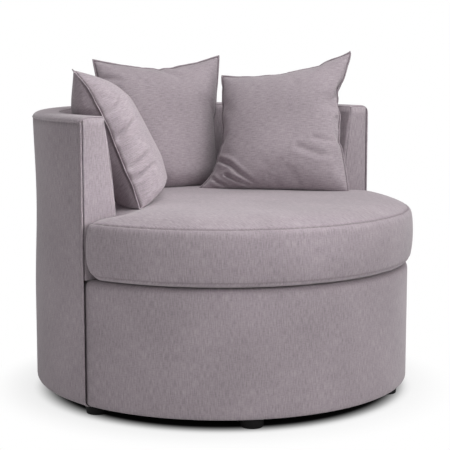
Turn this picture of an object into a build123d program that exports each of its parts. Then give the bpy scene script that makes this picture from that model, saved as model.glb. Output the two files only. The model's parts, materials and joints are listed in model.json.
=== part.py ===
from build123d import *
from math import acos, cos, degrees, hypot, radians, sin, sqrt
import os

# Round armchair: origin on the floor at the middle of the round plan, front towards -Y, +Z up.
# Every length is in millimetres and every angle in degrees.

# Round shell, measured over the fabric
shell_radius = 480.0
arm_reach = 58.0
arm_height = 702.0
arm_seat_thickness = 122.0
arm_top_thickness = 69.0

# Fabric and padding
cover = 2.0
outer_wadding_thickness = 16.0
front_wadding_thickness = 10.0
arm_pad_thickness = 12.0
rim_padding_depth = 40.0
band_depth = 12.0
band_round = 10.0
front_roll_radius = 14.0
front_lip = 34.0
hem_round = 16.0
front_hem_round = 11.0
turn_under = 2.0

# Timber and board frame
ply = 18.0
board = 4.0
base_ring_width = 92.0
deck_ring_width = 80.0
deck_height = 310.0
rail_width = 29.0
base_post_count = 10
base_post_width = 30.0
base_post_depth = 45.0
back_post_angles = (-84.0, -56.0, -28.0, 0.0, 28.0, 56.0, 84.0)
back_post_width = 40.0

# Deck that carries the seat cushion
strap_thickness = 1.5
strap_width = 50.0
strap_spacing = 110.0
straps_each_way = 5
strap_inset = 3.0
deck_pad_thickness = 12.0
deck_pad_front_inset = 22.5
layer_gap = 0.5

# Feet and underside
foot_height = 26.0
foot_radius = 29.0
foot_toe_radius = 26.0
foot_toe_round = 3.0
foot_inset = 28.0
foot_angles = (32.0, 85.0, 147.0)
dust_cloth_thickness = 1.0
screw_radius = 2.4
screw_head_radius = 5.0
screw_head_height = 3.2
screw_length = 30.0
screw_play = 0.1
counterbore_radius = 8.0
counterbore_depth = 12.0
staple_count = 36
staple_inset = 12.0
staple_crown = 10.0
staple_wire = 1.0
staple_leg = 8.0
staple_foot_gap = 40.0

# Loose seat cushion
seat_clearance = 0.3
cushion_overhang = 13.0
cushion_side_gap = 3.0
cushion_rear_shift = 9.0
cushion_height = 136.0
cushion_swell = 9.0
cushion_crown = 18.0
cushion_crown_run = 80.0
cushion_crown_run_rear = 30.0
cushion_corner = 28.0
cushion_cover = 2.0
core_gap = 0.3

# Scatter cushions
scatter_side = 380.0
scatter_half_depth = 72.0
scatter_draw_in = 15.0
scatter_cover = 2.0
scatter_flange = 3.0
scatter_seam = 8.0
scatter_levels = (0.0, 0.12, 0.35, 0.65, 0.88)
scatter_plumpness = 0.7
scatter_rounding = 0.85

# Where the scatter cushions stand: how far in from the inner back at its top, the straight
# distance from the middle cushion to each neighbour, the turn past facing the chair's axis, the lean
scatter_middle_bearing = -10.7
scatter_left_set_in = 130.1
scatter_middle_set_in = 104.7
scatter_right_set_in = 152.1
scatter_left_spacing = 352.4
scatter_right_spacing = 314.5
scatter_left_turn = -11.9
scatter_middle_turn = -2.3
scatter_right_turn = 24.7
scatter_left_lean = -28.0
scatter_middle_lean = -19.0
scatter_right_lean = -28.0

# Zips
zip_tape_thickness = 1.6
zip_chain_thickness = 3.2
zip_chain_height = 4.0
zip_length = 250.0
zip_end_margin = 4.0
zip_below_edge = 7.0
zip_play = 0.3
slider_length = 11.0
slider_wall = 1.8
tab_length = 18.0
tab_width = 4.0
tab_thickness = 1.4
zip_end_room = 30.0
seat_zip_span = 100.0
seat_zip_height = 24.0
seat_zip_end_turn = 4.0

# Radii and heights that follow
wadding_radius = shell_radius - cover
skin_radius = wadding_radius - outer_wadding_thickness
frame_radius = skin_radius - board
front_radius = skin_radius + front_wadding_thickness + cover
inner_radius_low = shell_radius - arm_seat_thickness
inner_radius_high = shell_radius - arm_top_thickness
foot_circle = frame_radius - foot_inset
staple_circle = frame_radius - staple_inset
cushion_radius = front_radius + cushion_overhang
rail_inner = frame_radius - rail_width
back_foam_radius = rail_inner - board
base_bottom = foot_height + dust_cloth_thickness
base_top = base_bottom + ply
deck_bottom = deck_height - ply
webbing_top = deck_height + 2 * strap_thickness
deck_pad_top = webbing_top + deck_pad_thickness
seat_plane = deck_pad_top + cover
band_seam = arm_height - band_depth
rail_top = arm_height - cover - rim_padding_depth
rail_bottom = rail_top - ply
pad_front = arm_reach - cover
arm_board_front = pad_front - arm_pad_thickness
arm_board_back = arm_board_front - ply
cushion_bottom = seat_plane + seat_clearance
cushion_top = cushion_bottom + cushion_height + cushion_crown

FAR = 4 * shell_radius


def write(shape, node):
    """Keeps one node of the chair as a file of its own."""
    export_step(shape, f"parts/{node}.step")


def inner_radius(height):
    """Radius of the inside fabric: the inner back opens out on its way up."""
    share = (height - seat_plane) / (band_seam - seat_plane)
    return inner_radius_low + share * (inner_radius_high - inner_radius_low)


def lift(sketch, bottom, top):
    """A flat outline raised from one height to another."""
    return Pos(0, 0, bottom) * extrude(sketch, top - bottom)


def before(part, reach):
    """The share of a part that lies in front of the plane at that reach."""
    return part & Pos(0, -reach - FAR / 2, FAR / 4) * Box(FAR, FAR, FAR)


def quarter_arcs(radius, start):
    """A half circle about the chair's axis in two quarters."""
    turn = 90 if start == 0 else -90
    return [CenterArc((0, 0), radius, start, turn), CenterArc((0, 0), radius, 90, turn)]


def horseshoe(outer, inner, reach):
    """Plan of the shell: half a ring round the back, with straight arms of that reach."""
    return make_face(
        [
            Line((outer, -reach), (outer, 0)),
            *quarter_arcs(outer, 0),
            Line((-outer, 0), (-outer, -reach)),
            Line((-outer, -reach), (-inner, -reach)),
            Line((-inner, -reach), (-inner, 0)),
            *quarter_arcs(inner, 180),
            Line((inner, 0), (inner, -reach)),
            Line((inner, -reach), (outer, -reach)),
        ]
    )


def shell_wall(outer, inner, bottom, top, reach):
    """Upright horseshoe wall with plain faces."""
    return lift(horseshoe(outer, inner, reach), bottom, top)


def leaning_wall(outer_offset, inner_offset, bottom, top, reach, upright=None):
    """Horseshoe wall that follows the leaning inner back, or has an upright outer face."""
    ends = []
    for height in (bottom, top):
        outer = upright or inner_radius(height) + outer_offset
        inner = inner_radius(height) + inner_offset
        ends.append(Pos(0, 0, height) * horseshoe(outer, inner, reach))
    return loft(ends, ruled=True)


def hemmed_wall(outer, inner, bottom, top, reach, radius):
    """Upright horseshoe wall whose lower outer edge is rounded under."""
    block = shell_wall(outer, inner, bottom, top, reach)
    middle_line = (outer + inner) / 2
    sole_edges = block.faces().sort_by(Axis.Z)[0].edges()
    long_edges = [edge for edge in sole_edges if edge.length > outer - inner]
    outside = [edge for edge in long_edges if hypot((edge @ 0.5).X, (edge @ 0.5).Y) > middle_line]
    return fillet(outside, radius)


def ring_post(angle, width, inner, bottom, top):
    """Upright post on the frame circle, its outer face just inside the board skin."""
    outer = sqrt(frame_radius**2 - (width / 2) ** 2)
    block = Box(width, outer - inner, top - bottom, align=(Align.CENTER, Align.MIN, Align.MIN))
    return Rot(0, 0, angle) * Pos(0, inner, bottom) * block


# Timber frame
def flat_ring(width, bottom):
    """Plywood ring of the frame circle."""
    return lift(Circle(frame_radius) - Circle(frame_radius - width), bottom, bottom + ply)


def foot_places():
    """Foot angles right round the base, measured from the front."""
    return [side * angle for side in (-1, 1) for angle in foot_angles]


def at_foot(angle):
    """Place of a foot on the foot circle."""
    return Rot(0, 0, angle) * Pos(0, -foot_circle, 0)


def make_frame():
    """Rings, posts, rail and boards that carry the padding."""
    screw_hole = Cylinder(screw_radius + screw_play, FAR)
    base_ring = flat_ring(base_ring_width, base_bottom)
    for angle in foot_places():
        base_ring -= at_foot(angle) * screw_hole
    write(base_ring, "base_ring")
    write(flat_ring(deck_ring_width, deck_bottom), "deck_ring")

    pitch = 360 / base_post_count
    inner = frame_radius - base_post_depth
    posts = [
        ring_post((step + 0.5) * pitch, base_post_width, inner, base_top, deck_bottom)
        for step in range(base_post_count)
    ]
    write(Compound(children=posts), "base_posts")
    for number, angle in enumerate(back_post_angles, start=1):
        post = ring_post(angle, back_post_width, rail_inner, deck_height, rail_bottom)
        write(post, f"back_post_{number}")
    write(shell_wall(frame_radius, rail_inner, rail_bottom, rail_top, arm_board_back), "top_rail")

    outer_board = shell_wall(skin_radius, frame_radius, base_bottom, rail_top, arm_board_front)
    write(outer_board, "outer_back_board")
    inner_board = shell_wall(rail_inner, back_foam_radius, deck_height, rail_top, arm_board_back)
    write(inner_board, "inner_back_board")
    front_board = lift(Circle(skin_radius) - Circle(frame_radius), base_bottom, deck_height)
    write(before(front_board, arm_board_front), "front_board")


def arm_end(outer, inner_offset, bottom, top, back, front):
    """Upright slab across the right arm's end: it follows the leaning inner face."""
    low = inner_radius(bottom) + inner_offset
    high = inner_radius(top) + inner_offset
    outline = make_face(Polyline((low, bottom), (outer, bottom), (outer, top), (high, top), close=True))
    return extrude(Plane.XZ.offset(back) * outline, front - back)


def write_pair(part, node):
    """A piece on the sitter's left, at +X, and its mirror image on the right."""
    write(part, f"{node}_left")
    write(mirror(part, about=Plane.YZ), f"{node}_right")


def make_arm_ends():
    """Board, pad and fabric panel that close the front of each arm."""
    arm_board = arm_end(frame_radius, cover, webbing_top, rail_top, arm_board_back, arm_board_front)
    write_pair(arm_board, "arm_front_board")
    pad = arm_end(skin_radius, cover, webbing_top, rail_top, arm_board_front, pad_front)
    write_pair(pad, "arm_front_pad")
    panel = arm_end(wadding_radius, 0, seat_plane, band_seam, pad_front, arm_reach)
    write_pair(panel, "arm_front_panel")


# Padding and fabric of the shell
def rounded_rim(outer, inner, bottom, top, reach, radius):
    """Horseshoe block whose upper edges are rounded over."""
    block = shell_wall(outer, inner, bottom, top, reach)
    room = min(outer - inner, 2 * (top - bottom)) / 2
    return fillet(block.faces().sort_by(Axis.Z)[-1].edges(), min(radius, 0.9 * room))


def make_shell_padding():
    """Foam and wadding between the boards and the fabric."""
    back_foam = leaning_wall(0, cover, webbing_top, rail_top, arm_board_back, back_foam_radius)
    write(back_foam, "back_foam")
    rim_inner = inner_radius_high + cover
    rim_round = band_round - cover
    rim = rounded_rim(wadding_radius, rim_inner, rail_top, arm_height - cover, pad_front, rim_round)
    write(rim, "rim_foam")
    fold = hem_round - cover
    wadding = hemmed_wall(wadding_radius, skin_radius, base_bottom, rail_top, pad_front, fold)
    write(wadding, "outer_wadding")

    band = rounded_rim(shell_radius, inner_radius_high, band_seam, arm_height, arm_reach, band_round)
    write(band - rim, "top_band")
    hem_bottom = base_bottom - turn_under
    outside = hemmed_wall(shell_radius, skin_radius, hem_bottom, band_seam, arm_reach, hem_round)
    filling = hemmed_wall(wadding_radius, skin_radius, base_bottom, band_seam, arm_reach, fold)
    write(outside - filling, "outside_back_cover")
    write(leaning_wall(cover, 0, webbing_top, band_seam, pad_front), "inside_back_cover")


def front_profile(outer, top, bottom, roll, fold, inside):
    """Round base front: its face turns in at a rolled top edge and a hem, along an inner path."""
    face = [
        CenterArc((outer - fold, bottom + fold), fold, 270, 90),
        Line((outer, bottom + fold), (outer, top - roll)),
        CenterArc((outer - roll, top - roll), roll, 0, 90),
    ]
    path = Polyline((outer - roll, top), *inside, (outer - fold, bottom))
    return revolve(Plane.XZ * make_face([*face, *path.edges()]), Axis.Z)


def make_base_front():
    """Wadding and fabric round the front of the base, under the seat cushion's front."""
    pad_radius = front_radius - cover
    lip_radius = front_radius - front_lip
    deck_edge = front_radius - deck_pad_front_inset + layer_gap
    roll = front_roll_radius - cover
    fold = front_hem_round - cover
    pad_path = [
        (deck_edge, deck_pad_top),
        (deck_edge, deck_height),
        (skin_radius, deck_height),
        (skin_radius, base_bottom),
    ]
    wadding = front_profile(pad_radius, deck_pad_top, base_bottom, roll, fold, pad_path)
    write(before(wadding, arm_reach), "front_wadding")

    skin_bottom = base_bottom - turn_under
    outer_path = [(lip_radius, seat_plane), (lip_radius, skin_bottom)]
    inner_path = [(lip_radius, deck_pad_top), (lip_radius, base_bottom)]
    skin = front_radius, seat_plane, skin_bottom, front_roll_radius, front_hem_round
    solid = front_profile(*skin, outer_path)
    hollow = front_profile(pad_radius, deck_pad_top, base_bottom, roll, fold, inner_path)
    throat = lift(Circle(skin_radius), skin_bottom, base_bottom)
    bore = lift(Circle(lip_radius), skin_bottom, seat_plane)
    write(before(solid - hollow - throat - bore, arm_reach), "front_base_cover")


# Deck
def deck_layer(bottom, top, front):
    """Layer of the deck: a round front before the arms and a round tongue between them."""
    rear = inner_radius(webbing_top) - layer_gap
    wide = before(lift(Circle(front), bottom, top), arm_reach + layer_gap)
    return wide + lift(Circle(rear), bottom, top)


def strap_layer(bottom, turn):
    """Parallel straps over the deck ring, each cut to its chord of the round frame."""
    reach = back_foam_radius - strap_inset
    straps = []
    for step in range(straps_each_way):
        offset = (step - (straps_each_way - 1) / 2) * strap_spacing
        edge = abs(offset) + strap_width / 2
        length = 2 * sqrt(reach**2 - edge**2)
        strap = Box(strap_width, length, strap_thickness, align=(Align.CENTER, Align.CENTER, Align.MIN))
        straps.append(Rot(0, 0, turn) * Pos(offset, 0, bottom) * strap)
    return Compound(children=straps)


def make_deck():
    """Webbing both ways, felt pad and cloth under the seat cushion."""
    write(strap_layer(deck_height, 0), "webbing_lengthwise")
    write(strap_layer(deck_height + strap_thickness, 90), "webbing_crosswise")
    pad_front_radius = front_radius - deck_pad_front_inset
    cloth_front_radius = front_radius - front_lip - layer_gap
    write(deck_layer(webbing_top, deck_pad_top, pad_front_radius), "deck_pad")
    write(deck_layer(deck_pad_top, seat_plane, cloth_front_radius), "deck_cloth")


# Underside
def make_foot():
    """Moulded round foot with a screw well in its sole."""
    body = Pos(0, 0, foot_height / 2) * Cone(foot_toe_radius, foot_radius, foot_height)
    body = fillet(body.edges().group_by(Axis.Z)[0], foot_toe_round)
    well = Pos(0, 0, counterbore_depth / 2) * Cylinder(counterbore_radius, counterbore_depth)
    return body - well - Cylinder(screw_radius + screw_play, FAR)


def make_screw():
    """Pan-head wood screw, head up against the end of the foot's well."""
    head_bottom = counterbore_depth - screw_head_height
    head = Pos(0, 0, head_bottom + screw_head_height / 2) * Cylinder(screw_head_radius, screw_head_height)
    shank = Pos(0, 0, counterbore_depth + screw_length / 2) * Cylinder(screw_radius, screw_length)
    return head + shank


def make_staples():
    """Staples through the dust cloth into the base ring, clear of the feet."""
    crown = Pos(0, 0, -staple_wire / 2) * Box(staple_crown, staple_wire, staple_wire)
    leg_x = (staple_crown - staple_wire) / 2
    leg = Pos(leg_x, 0, staple_leg / 2) * Box(staple_wire, staple_wire, staple_leg)
    staple = crown + leg + mirror(leg, about=Plane.YZ)
    clear = degrees(staple_foot_gap / foot_circle)
    staples = []
    for step in range(staple_count):
        angle = step * 360 / staple_count - 180
        if all(abs(angle - foot) > clear for foot in foot_places()):
            staples.append(Rot(0, 0, angle) * Pos(0, -staple_circle, foot_height) * staple)
    return Compound(children=staples)


def make_underside():
    """Feet, their screws, the dust cloth and its staples."""
    foot = make_foot()
    screw = make_screw()
    cloth = lift(Circle(skin_radius - layer_gap), foot_height, base_bottom)
    screws = []
    for number, angle in enumerate(foot_places(), start=1):
        write(at_foot(angle) * foot, f"foot_{number}")
        screws.append(at_foot(angle) * screw)
        cloth -= at_foot(angle) * Cylinder(screw_radius + screw_play, FAR)
    write(Compound(children=screws), "foot_screws")
    write(cloth, "dust_cloth")
    write(make_staples(), "dust_cloth_staples")


# Seat cushion
def cushion_rear(height):
    """Rear radius of the seat cushion: it leans with the inner back and stays clear of it."""
    return inner_radius(height) - cushion_side_gap


def cushion_round(low, high, crown_run, shrink):
    """Round boxed cushion: its side swells between two seams and its top rises to a crown."""
    bottom = cushion_bottom + shrink
    seam = cushion_bottom + cushion_height - shrink
    top = seam + cushion_crown
    foot = low - cushion_swell - shrink
    shoulder = high - cushion_swell - shrink
    belly = (low + high) / 2 - shrink, (bottom + seam) / 2
    crown_edge = shoulder - crown_run
    section = make_face(
        [
            Line((0, bottom), (foot, bottom)),
            ThreePointArc((foot, bottom), belly, (shoulder, seam)),
            TangentArc((crown_edge, top), (shoulder, seam), tangent=(1, 0)),
            Line((crown_edge, top), (0, top)),
            Line((0, top), (0, bottom)),
        ]
    )
    return revolve(Plane.XZ * section, Axis.Z)


def cushion_form(shrink):
    """Seat cushion of tee plan: a wide round front before the arms, a round tongue between them."""
    low = cushion_rear(cushion_bottom)
    high = cushion_rear(cushion_bottom + cushion_height)
    front = cushion_round(cushion_radius, cushion_radius, cushion_crown_run, shrink)
    tongue = cushion_round(low, high, cushion_crown_run_rear, shrink)
    notch = arm_reach + seat_clearance + shrink
    plan = Circle(cushion_radius - shrink) & Pos(0, -notch - FAR / 2) * Rectangle(FAR, FAR)
    plan = fillet(plan.vertices(), cushion_corner - shrink)
    wide = front & lift(plan, cushion_bottom, cushion_top)
    return wide + Pos(0, -cushion_rear_shift, 0) * tongue


def arc_bar(inner, outer, half_span, bottom, top):
    """Curved bar about the cushion's rear centre, across the back."""
    ring = lift(Circle(outer) - Circle(inner), bottom, top)
    edge = FAR * cos(radians(half_span)), FAR * sin(radians(half_span))
    wedge = make_face(Polyline((0, 0), (edge[1], edge[0]), (-edge[1], edge[0]), close=True))
    return Pos(0, -cushion_rear_shift, 0) * (ring & lift(wedge, bottom, top))


def make_seat():
    """Loose seat cushion: cover, core, and a zip with its slider across the back."""
    outer = cushion_form(0)
    write(outer - cushion_form(cushion_cover), "seat_cushion_cover")
    write(cushion_form(cushion_cover + core_gap), "seat_cushion_core")

    middle = cushion_bottom + cushion_height / 2
    low = middle - seat_zip_height / 2
    high = middle + seat_zip_height / 2
    face = cushion_rear(high)
    half_span = seat_zip_span / 2
    tape = arc_bar(face - cushion_swell, face + zip_tape_thickness, half_span, low, high) - outer
    chain_face = face + zip_chain_thickness
    chain_low = middle - zip_chain_height / 2
    chain_high = middle + zip_chain_height / 2
    chain = arc_bar(face, chain_face, half_span, chain_low, chain_high) - outer
    write(tape + chain, "seat_zip")

    turn = degrees(slider_length / face)
    room_low = chain_low - zip_play
    room_high = chain_high + zip_play
    inside = face + zip_tape_thickness + zip_play
    outside = chain_face + zip_play + slider_wall
    body = arc_bar(inside, outside, turn / 2, room_low - slider_wall, room_high + slider_wall)
    body -= arc_bar(inside, chain_face + zip_play, turn, room_low, room_high)
    tab_turn = degrees(tab_length / face)
    tab_low = middle - tab_width / 2
    tab = arc_bar(outside - tab_thickness, outside, tab_turn / 2, tab_low, tab_low + tab_width)
    slider = body + about_seat(tab_turn / 2) * tab
    closed_end = seat_zip_end_turn - half_span
    write(about_seat(closed_end) * slider, "seat_zip_slider")


def about_seat(angle):
    """A turn about the centre of the cushion's round back."""
    return Pos(0, -cushion_rear_shift, 0) * Rot(0, 0, angle) * Pos(0, cushion_rear_shift, 0)


# Scatter cushions
def pillow_outline(half, draw_in, share):
    """Square outline with drawn-in sides that rounds off towards the crown."""
    tip = half * (1 - share)
    middle = (half - draw_in) * (1 - share) ** scatter_rounding
    corners = [(tip, tip), (-tip, tip), (-tip, -tip), (tip, -tip)]
    middles = [(0, middle), (-middle, 0), (0, -middle), (middle, 0)]
    arcs = [ThreePointArc(corners[i], middles[i], corners[(i + 1) % 4]) for i in range(4)]
    return make_face(arcs)


def pillow_form(half, half_depth, draw_in, flange):
    """Knife-edged square cushion, upright, with its faces towards -Y and +Y."""
    faces = []
    for share in scatter_levels:
        rise = (half_depth - flange / 2) * (1 - (1 - share) ** 2) ** scatter_plumpness
        faces.append(Pos(0, 0, flange / 2 + rise) * pillow_outline(half, draw_in, share))
    side = loft(faces, ruled=True)
    edge = Pos(0, 0, -flange / 2) * extrude(pillow_outline(half, draw_in, 0), flange)
    return Rot(90, 0, 0) * (side + edge + mirror(side, about=Plane.XY))


def scatter_place(bearing, set_in, turn, lean):
    """Place of a scatter cushion that stands on its lower corners and leans back."""
    half = scatter_side / 2
    drop = half * cos(radians(lean)) + scatter_flange / 2 * sin(radians(abs(lean)))
    height = cushion_top + seat_clearance + drop
    stand = Rot(0, 0, bearing) * Pos(0, inner_radius_high - set_in, height)
    return stand * Rot(0, 0, turn) * Rot(lean, 0, 0)


def bearing_step(set_in, spacing):
    """Turn about the chair's axis from the middle cushion to a neighbour at that spacing."""
    near = inner_radius_high - scatter_middle_set_in
    far = inner_radius_high - set_in
    return degrees(acos((near**2 + far**2 - spacing**2) / (2 * near * far)))


def scatter_places():
    """Place of each scatter cushion by its side of the chair."""
    left = scatter_middle_bearing + bearing_step(scatter_left_set_in, scatter_left_spacing)
    right = scatter_middle_bearing - bearing_step(scatter_right_set_in, scatter_right_spacing)
    middle = scatter_middle_bearing
    return {
        "left": scatter_place(left, scatter_left_set_in, scatter_left_turn, scatter_left_lean),
        "middle": scatter_place(middle, scatter_middle_set_in, scatter_middle_turn, scatter_middle_lean),
        "right": scatter_place(right, scatter_right_set_in, scatter_right_turn, scatter_right_lean),
    }


def make_scatter_zip(outer):
    """Zip below the lower edge of a scatter cushion, and its slider."""
    edge = scatter_side / 2 - scatter_draw_in
    bottom = -edge - zip_below_edge - zip_chain_height
    chain_top = bottom + zip_chain_height
    on_bottom = (Align.CENTER, Align.CENTER, Align.MIN)
    tape_height = zip_below_edge + zip_chain_height + scatter_flange
    tape = Pos(0, 0, bottom) * Box(zip_length, zip_tape_thickness, tape_height, align=on_bottom)
    chain_length = zip_length - 2 * zip_end_margin
    chain = Pos(0, 0, bottom) * Box(chain_length, zip_chain_thickness, zip_chain_height, align=on_bottom)

    room = zip_chain_thickness + 2 * zip_play
    width = room + 2 * slider_wall
    body_bottom = bottom - zip_play - slider_wall
    body_height = chain_top + zip_play - body_bottom
    body = Pos(0, 0, body_bottom) * Box(slider_length, width, body_height, align=on_bottom)
    body -= Pos(0, 0, bottom - zip_play) * Box(slider_length, room, body_height, align=on_bottom)
    tab_middle = (slider_length + tab_length) / 2
    tab_side = (room + tab_thickness) / 2
    tab = Pos(tab_middle, tab_side, bottom) * Box(tab_length, tab_thickness, tab_width, align=on_bottom)
    closed_end = zip_end_room - zip_length / 2
    return tape + chain - outer, Pos(closed_end, 0, 0) * (body + tab)


def make_scatters():
    """Three scatter cushions: cover, fibre insert, zip and slider."""
    half = scatter_side / 2
    outer = pillow_form(half, scatter_half_depth, scatter_draw_in, scatter_flange)
    hollow_half = half - scatter_seam
    hollow_depth = scatter_half_depth - scatter_cover
    hollow = pillow_form(hollow_half, hollow_depth, scatter_draw_in, scatter_cover)
    insert_half = hollow_half - core_gap
    insert_depth = hollow_depth - core_gap
    insert = pillow_form(insert_half, insert_depth, scatter_draw_in, scatter_cover - 2 * core_gap)
    zip_strip, slider = make_scatter_zip(outer)
    shell = outer - hollow
    for side, place in scatter_places().items():
        write(place * shell, f"scatter_{side}_cover")
        write(place * insert, f"scatter_{side}_insert")
        write(place * zip_strip, f"scatter_{side}_zip")
        write(place * slider, f"scatter_{side}_zip_slider")


os.makedirs("parts", exist_ok=True)
make_frame()
make_arm_ends()
make_shell_padding()
make_base_front()
make_deck()
make_underside()
make_seat()
make_scatters()
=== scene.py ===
import json
from math import asin, atan2, cos, exp, hypot, pi, radians, sin

import bmesh
import bpy
from bpy.props import FloatProperty, FloatVectorProperty, IntProperty, PointerProperty
from mathutils import Matrix, Vector, noise


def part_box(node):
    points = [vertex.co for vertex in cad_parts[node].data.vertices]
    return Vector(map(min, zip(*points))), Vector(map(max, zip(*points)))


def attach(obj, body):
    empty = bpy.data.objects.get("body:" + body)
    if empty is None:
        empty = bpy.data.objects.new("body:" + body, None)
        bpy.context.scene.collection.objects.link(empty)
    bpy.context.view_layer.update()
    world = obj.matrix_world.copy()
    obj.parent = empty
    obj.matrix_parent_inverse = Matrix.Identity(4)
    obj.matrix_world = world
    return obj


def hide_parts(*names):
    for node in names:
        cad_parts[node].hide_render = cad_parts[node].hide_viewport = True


bl_info = {
    "name": "Round Armchair",
    "version": (1, 0, 0),
    "blender": (4, 5, 0),
    "location": "3D View > Sidebar > Armchair",
    "description": "Upholstery, loose cushions and stage of a round armchair around its CAD frame",
    "category": "Object",
}

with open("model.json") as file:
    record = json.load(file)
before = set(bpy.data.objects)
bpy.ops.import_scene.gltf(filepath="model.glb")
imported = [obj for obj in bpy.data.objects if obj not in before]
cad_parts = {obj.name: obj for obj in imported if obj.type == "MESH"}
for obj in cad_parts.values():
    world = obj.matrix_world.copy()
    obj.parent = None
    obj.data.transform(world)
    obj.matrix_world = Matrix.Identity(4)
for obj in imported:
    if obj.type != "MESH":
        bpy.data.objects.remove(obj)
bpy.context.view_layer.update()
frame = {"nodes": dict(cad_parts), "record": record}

COVER_LOW, COVER_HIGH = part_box("outside_back_cover")
BAND_LOW, BAND_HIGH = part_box("top_band")
INNER_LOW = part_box("inside_back_cover")[0]
PANEL_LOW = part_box("arm_front_panel_left")[0]
FRONT_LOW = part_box("front_base_cover")[0]
DECK_LOW, DECK_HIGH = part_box("deck_cloth")
DUST_LOW, DUST_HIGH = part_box("dust_cloth")
SEAT_LOW, SEAT_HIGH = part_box("seat_cushion_cover")

# Steps of a turn about the chair's axis, and of a straight run along an arm
ARC_STEPS, RUN_STEPS = 96, 4
# Length from which a run of a section is divided
LONG_RUN = 0.02


# Colours
def linear(code):
    """Linear colour of an sRGB hex code."""
    shares = [int(code[place : place + 2], 16) / 255 for place in (1, 3, 5)]
    return [s / 12.92 if s <= 0.04045 else ((s + 0.055) / 1.055) ** 2.4 for s in shares] + [1.0]


# Sizes and colours that a user would change
def length(name, description, default):
    """A length in metres as a property."""
    return FloatProperty(name=name, description=description, default=default, unit="LENGTH", precision=4)


def plain(name, description, default):
    """A plain number as a property."""
    return FloatProperty(name=name, description=description, default=default)


def vector(name, description, default, subtype):
    """A place or a direction as a property."""
    return FloatVectorProperty(name=name, description=description, default=default, subtype=subtype)


def colour(name, description, code):
    """A colour as a property, from its sRGB hex code."""
    kind = {"subtype": "COLOR", "size": 4, "min": 0.0, "max": 1.0}
    return FloatVectorProperty(name=name, description=description, default=linear(code), **kind)


class ShellSizes(bpy.types.PropertyGroup):
    radius: length("Shell radius", "Outside of the round shell over the fabric", COVER_HIGH.x)
    reach: length("Arm reach", "How far the arms run straight in front of the round back", -COVER_LOW.y)
    top: length("Arm height", "Crown of the padded arms and back above the floor", BAND_HIGH.z + 0.005)
    seam: length("Band seam", "Height of the seam below the top band", BAND_LOW.z + 0.0025)
    hem: length("Hem height", "Lower edge of the fabric above the floor", COVER_LOW.z)
    hem_round: length("Hem round", "Radius of the fabric's turn under the base", 0.016)
    turn_under: length("Turn under", "Width of fabric folded below the base", 0.018)
    waist: length("Waist", "How far the outside draws in half way up", 0.006)
    waist_height: length("Waist height", "Height at which the outside draws in most", 0.49)
    waist_reach: length("Waist reach", "Distance above and below over which the waist fades", 0.25)
    waist_start: length("Waist start", "Distance behind the arm fronts at which the waist is full", 0.25)
    edge_round: length("Edge round", "Radius of the padded inner edges of the arm ends", 0.006)
    corner_round: length("Corner round", "Radius of the outer edges of the arm ends", 0.003)
    rim_round: length("Rim round", "Radius of the top band's front edge", 0.004)
    rim_inner_drop: length("Rim inner drop", "Fall of the crowned top band to its inner edge", 0.004)
    rim_lap: length("Rim lap", "How far the band runs down behind the inside fabric", 0.012)
    inner_low: length("Inner radius low", "Inside fabric at the seat plane", PANEL_LOW.x)
    inner_high: length("Inner radius high", "Inside fabric at the top of the back", 0.4127)
    inner_top: length("Inside top", "Height at which the inside fabric meets the band", BAND_HIGH.z)
    inner_crown: length("Inside crown", "Swell of the inside back above the seat cushion", 0.004)
    seat_plane: length("Seat plane", "Height of the deck under the seat cushion", PANEL_LOW.z)
    welt: length("Welt radius", "Radius of the sewn welt along the outer edges", 0.0024)
    slit: length("Seam slit", "Width of the slit between the welt and the arm panel", 0.003)
    slit_depth: length("Slit depth", "Depth to which the fabric turns in at the welt", 0.007)
    cloth: length("Fabric thickness", "Thickness of the upholstery fabric", 0.002)
    front_radius: length("Base front radius", "Outside of the base below the seat", -FRONT_LOW.y)
    front_hem_round: length("Base front hem round", "Radius of the base front's turn under", 0.011)
    front_roll: length("Base front roll", "Radius of the base front's upper edge", 0.019)
    front_tuck: length("Base front tuck", "How far the base front runs in behind the arm seams", 0.012)
    front_lip: length("Base front lip", "Width of the strip that runs in under the cushion", 0.034)


class SeatSizes(bpy.types.PropertyGroup):
    radius: length("Front radius", "Round front of the seat cushion", -SEAT_LOW.y)
    notch: length("Notch", "Distance of the wide part's rear edge in front of the middle", 0.0583)
    shift: length("Rear shift", "Middle of the round rear, in front of the chair's middle", 0.009)
    gap: length("Side gap", "Room between the cushion and the inside back", 0.003)
    bottom: length("Bottom", "Underside of the cushion", SEAT_LOW.z)
    top: length("Top", "Crown of the cushion", SEAT_HIGH.z)
    seam: length("Upper seam", "Height of the seam round the top panel", 0.4633)
    low_seam: length("Lower seam", "Height of the seam round the bottom panel", 0.3413)
    slack: length("Start slack", "How much smaller the cushion is before it is filled", 0.005)
    corner: length("Corner round", "Radius of the front corners beside the arms", 0.030)
    corner_low: length("Lower corner round", "How much more the same corners draw in at the bottom", 0.040)
    curl: length("Curl", "Lift of the lower edge where the cushion hangs over the base", 0.009)
    seam_width: length("Seam width", "Half width of a seam's furrow", 0.004)
    swell_limit: length("Swell limit", "Furthest that filling may move a point", 0.012)
    voxel: length("Mesh size", "Size of the cushion's faces before they are halved", 0.009)
    seam_depth: length("Seam depth", "How far the seams pull in", 0.0018)


class ScatterSizes(bpy.types.PropertyGroup):
    side: length("Side", "Corner to corner along one edge of a scatter cushion", 0.380)
    depth: length("Half depth", "Crown of each face above the seam", 0.072)
    flange: length("Flange", "Width of the sewn flange outside the seam", 0.0038)
    flange_thickness: length("Flange thickness", "Two layers of fabric", 0.0024)
    zip_length: length("Zip length", "Run of the lower seam that the zip takes from the flange", 0.250)
    fullness: plain("Fullness", "Below 1 the faces rise faster from the seam", 0.68)
    cells: IntProperty(name="Cells", description="Faces along one edge before they are halved", default=56)


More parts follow.
